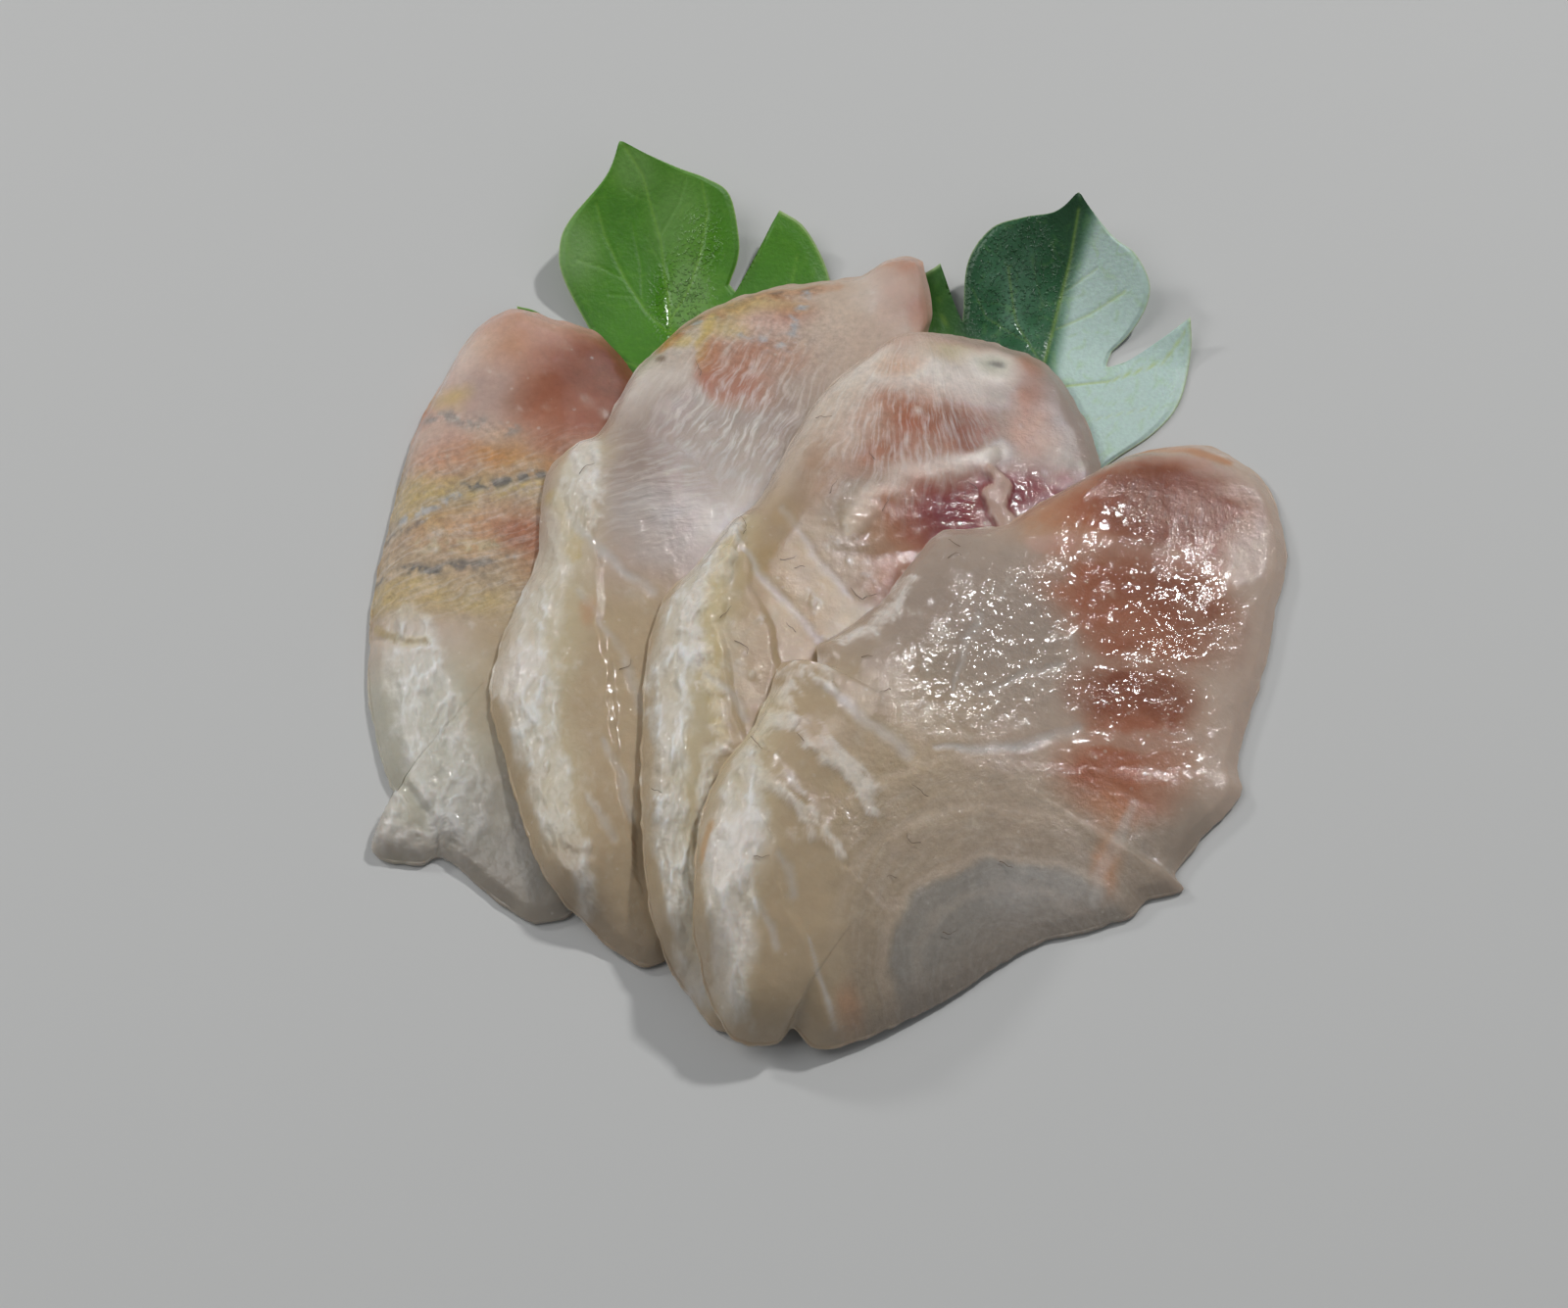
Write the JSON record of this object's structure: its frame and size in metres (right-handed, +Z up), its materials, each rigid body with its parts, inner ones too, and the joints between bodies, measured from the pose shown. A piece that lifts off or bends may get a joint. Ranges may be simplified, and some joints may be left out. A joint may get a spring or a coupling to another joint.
{
  "type": "sashimi fan with leaf garnish",
  "caption": "Thin slices of raw white fish fanned over each other, with lobed green garnish leaves tucked behind them.",
  "frame": {"origin": "on the table under the middle of the whole serving", "axes": "+X from the bottom slice towards the top slice, +Y from the front of the fan towards the leaves, +Z up"},
  "size_m": [0.0952, 0.105, 0.0137],
  "materials": {
    "fish_pale": "wet translucent raw white fish, pinkish tan above and silvery white below",
    "fish_grey": "wet translucent raw white fish, greyish in the middle with a silvery flank",
    "fish_rosy": "wet translucent raw white fish with orange and crimson stains and a silvery flank",
    "fish_amber": "wet translucent raw white fish, cream amber with red-brown stains and grey muscle rings",
    "leaf_bright": "fresh bright green leaf with pale veins and fine water drops",
    "leaf_blue_green": "waxy blue-green leaf with a yellow midrib and fine water drops"
  },
  "bodies": {
    "root": {"slice_1": "fish_pale", "slice_2": "fish_grey", "slice_3": "fish_rosy", "slice_4": "fish_amber", "leaf_left": "leaf_bright", "leaf_right": "leaf_blue_green"}
  },
  "joints": []
}
